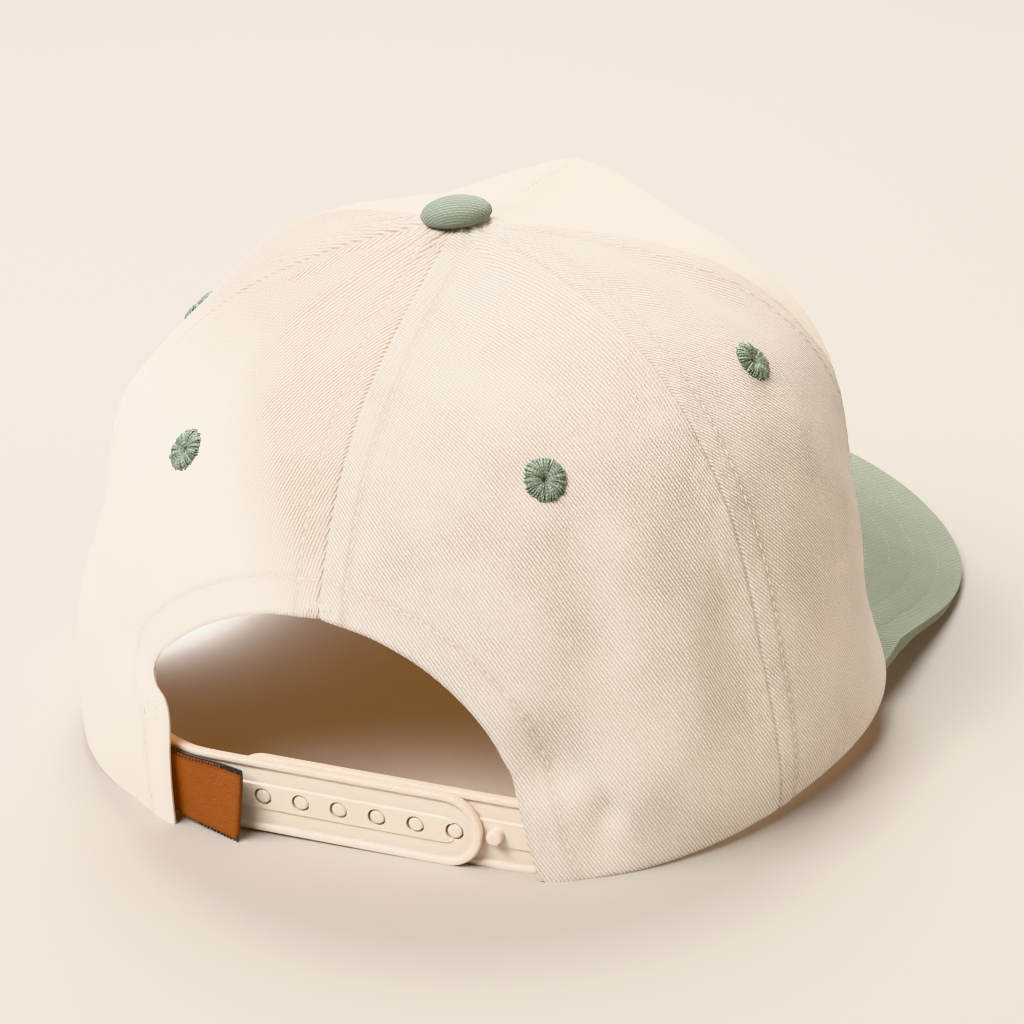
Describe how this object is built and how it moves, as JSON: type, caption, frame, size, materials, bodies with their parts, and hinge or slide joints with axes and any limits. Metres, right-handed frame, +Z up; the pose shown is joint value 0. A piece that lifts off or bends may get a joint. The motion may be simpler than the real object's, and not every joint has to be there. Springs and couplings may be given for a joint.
{
  "type": "snapback cap",
  "caption": "Twill snapback cap with a creased front panel, curved sage peak and button, sewn eyelets, moulded snap strap and a small bare leather tab.",
  "frame": {"origin": "on the surface that the cap rests on, under the middle of its box", "axes": "+Z up, the peak points to -Y and the opening with the snap strap to +Y, the wearer's left is +X"},
  "size_m": [0.1911, 0.2691, 0.1301],
  "materials": {
    "crown_twill": "cream cotton twill with tonal stitching",
    "sage_twill": "sage green cotton twill",
    "sage_thread": "sage green embroidery thread",
    "strap_plastic": "moulded cream plastic, satin",
    "tan_leather": "fine grained tan leather with black edges"
  },
  "bodies": {
    "root": {"crown_front": "crown_twill", "crown_back_right": "crown_twill", "crown_back_left": "crown_twill", "crown_side_right": "crown_twill", "crown_side_left": "crown_twill", "peak": "sage_twill", "button": "sage_twill", "eyelet_back_right": "sage_thread", "eyelet_back_left": "sage_thread", "eyelet_side_right": "sage_thread", "eyelet_side_left": "sage_thread", "strap_holes": "strap_plastic", "strap_pegs": "strap_plastic", "leather_tab": "tan_leather"}
  },
  "joints": []
}
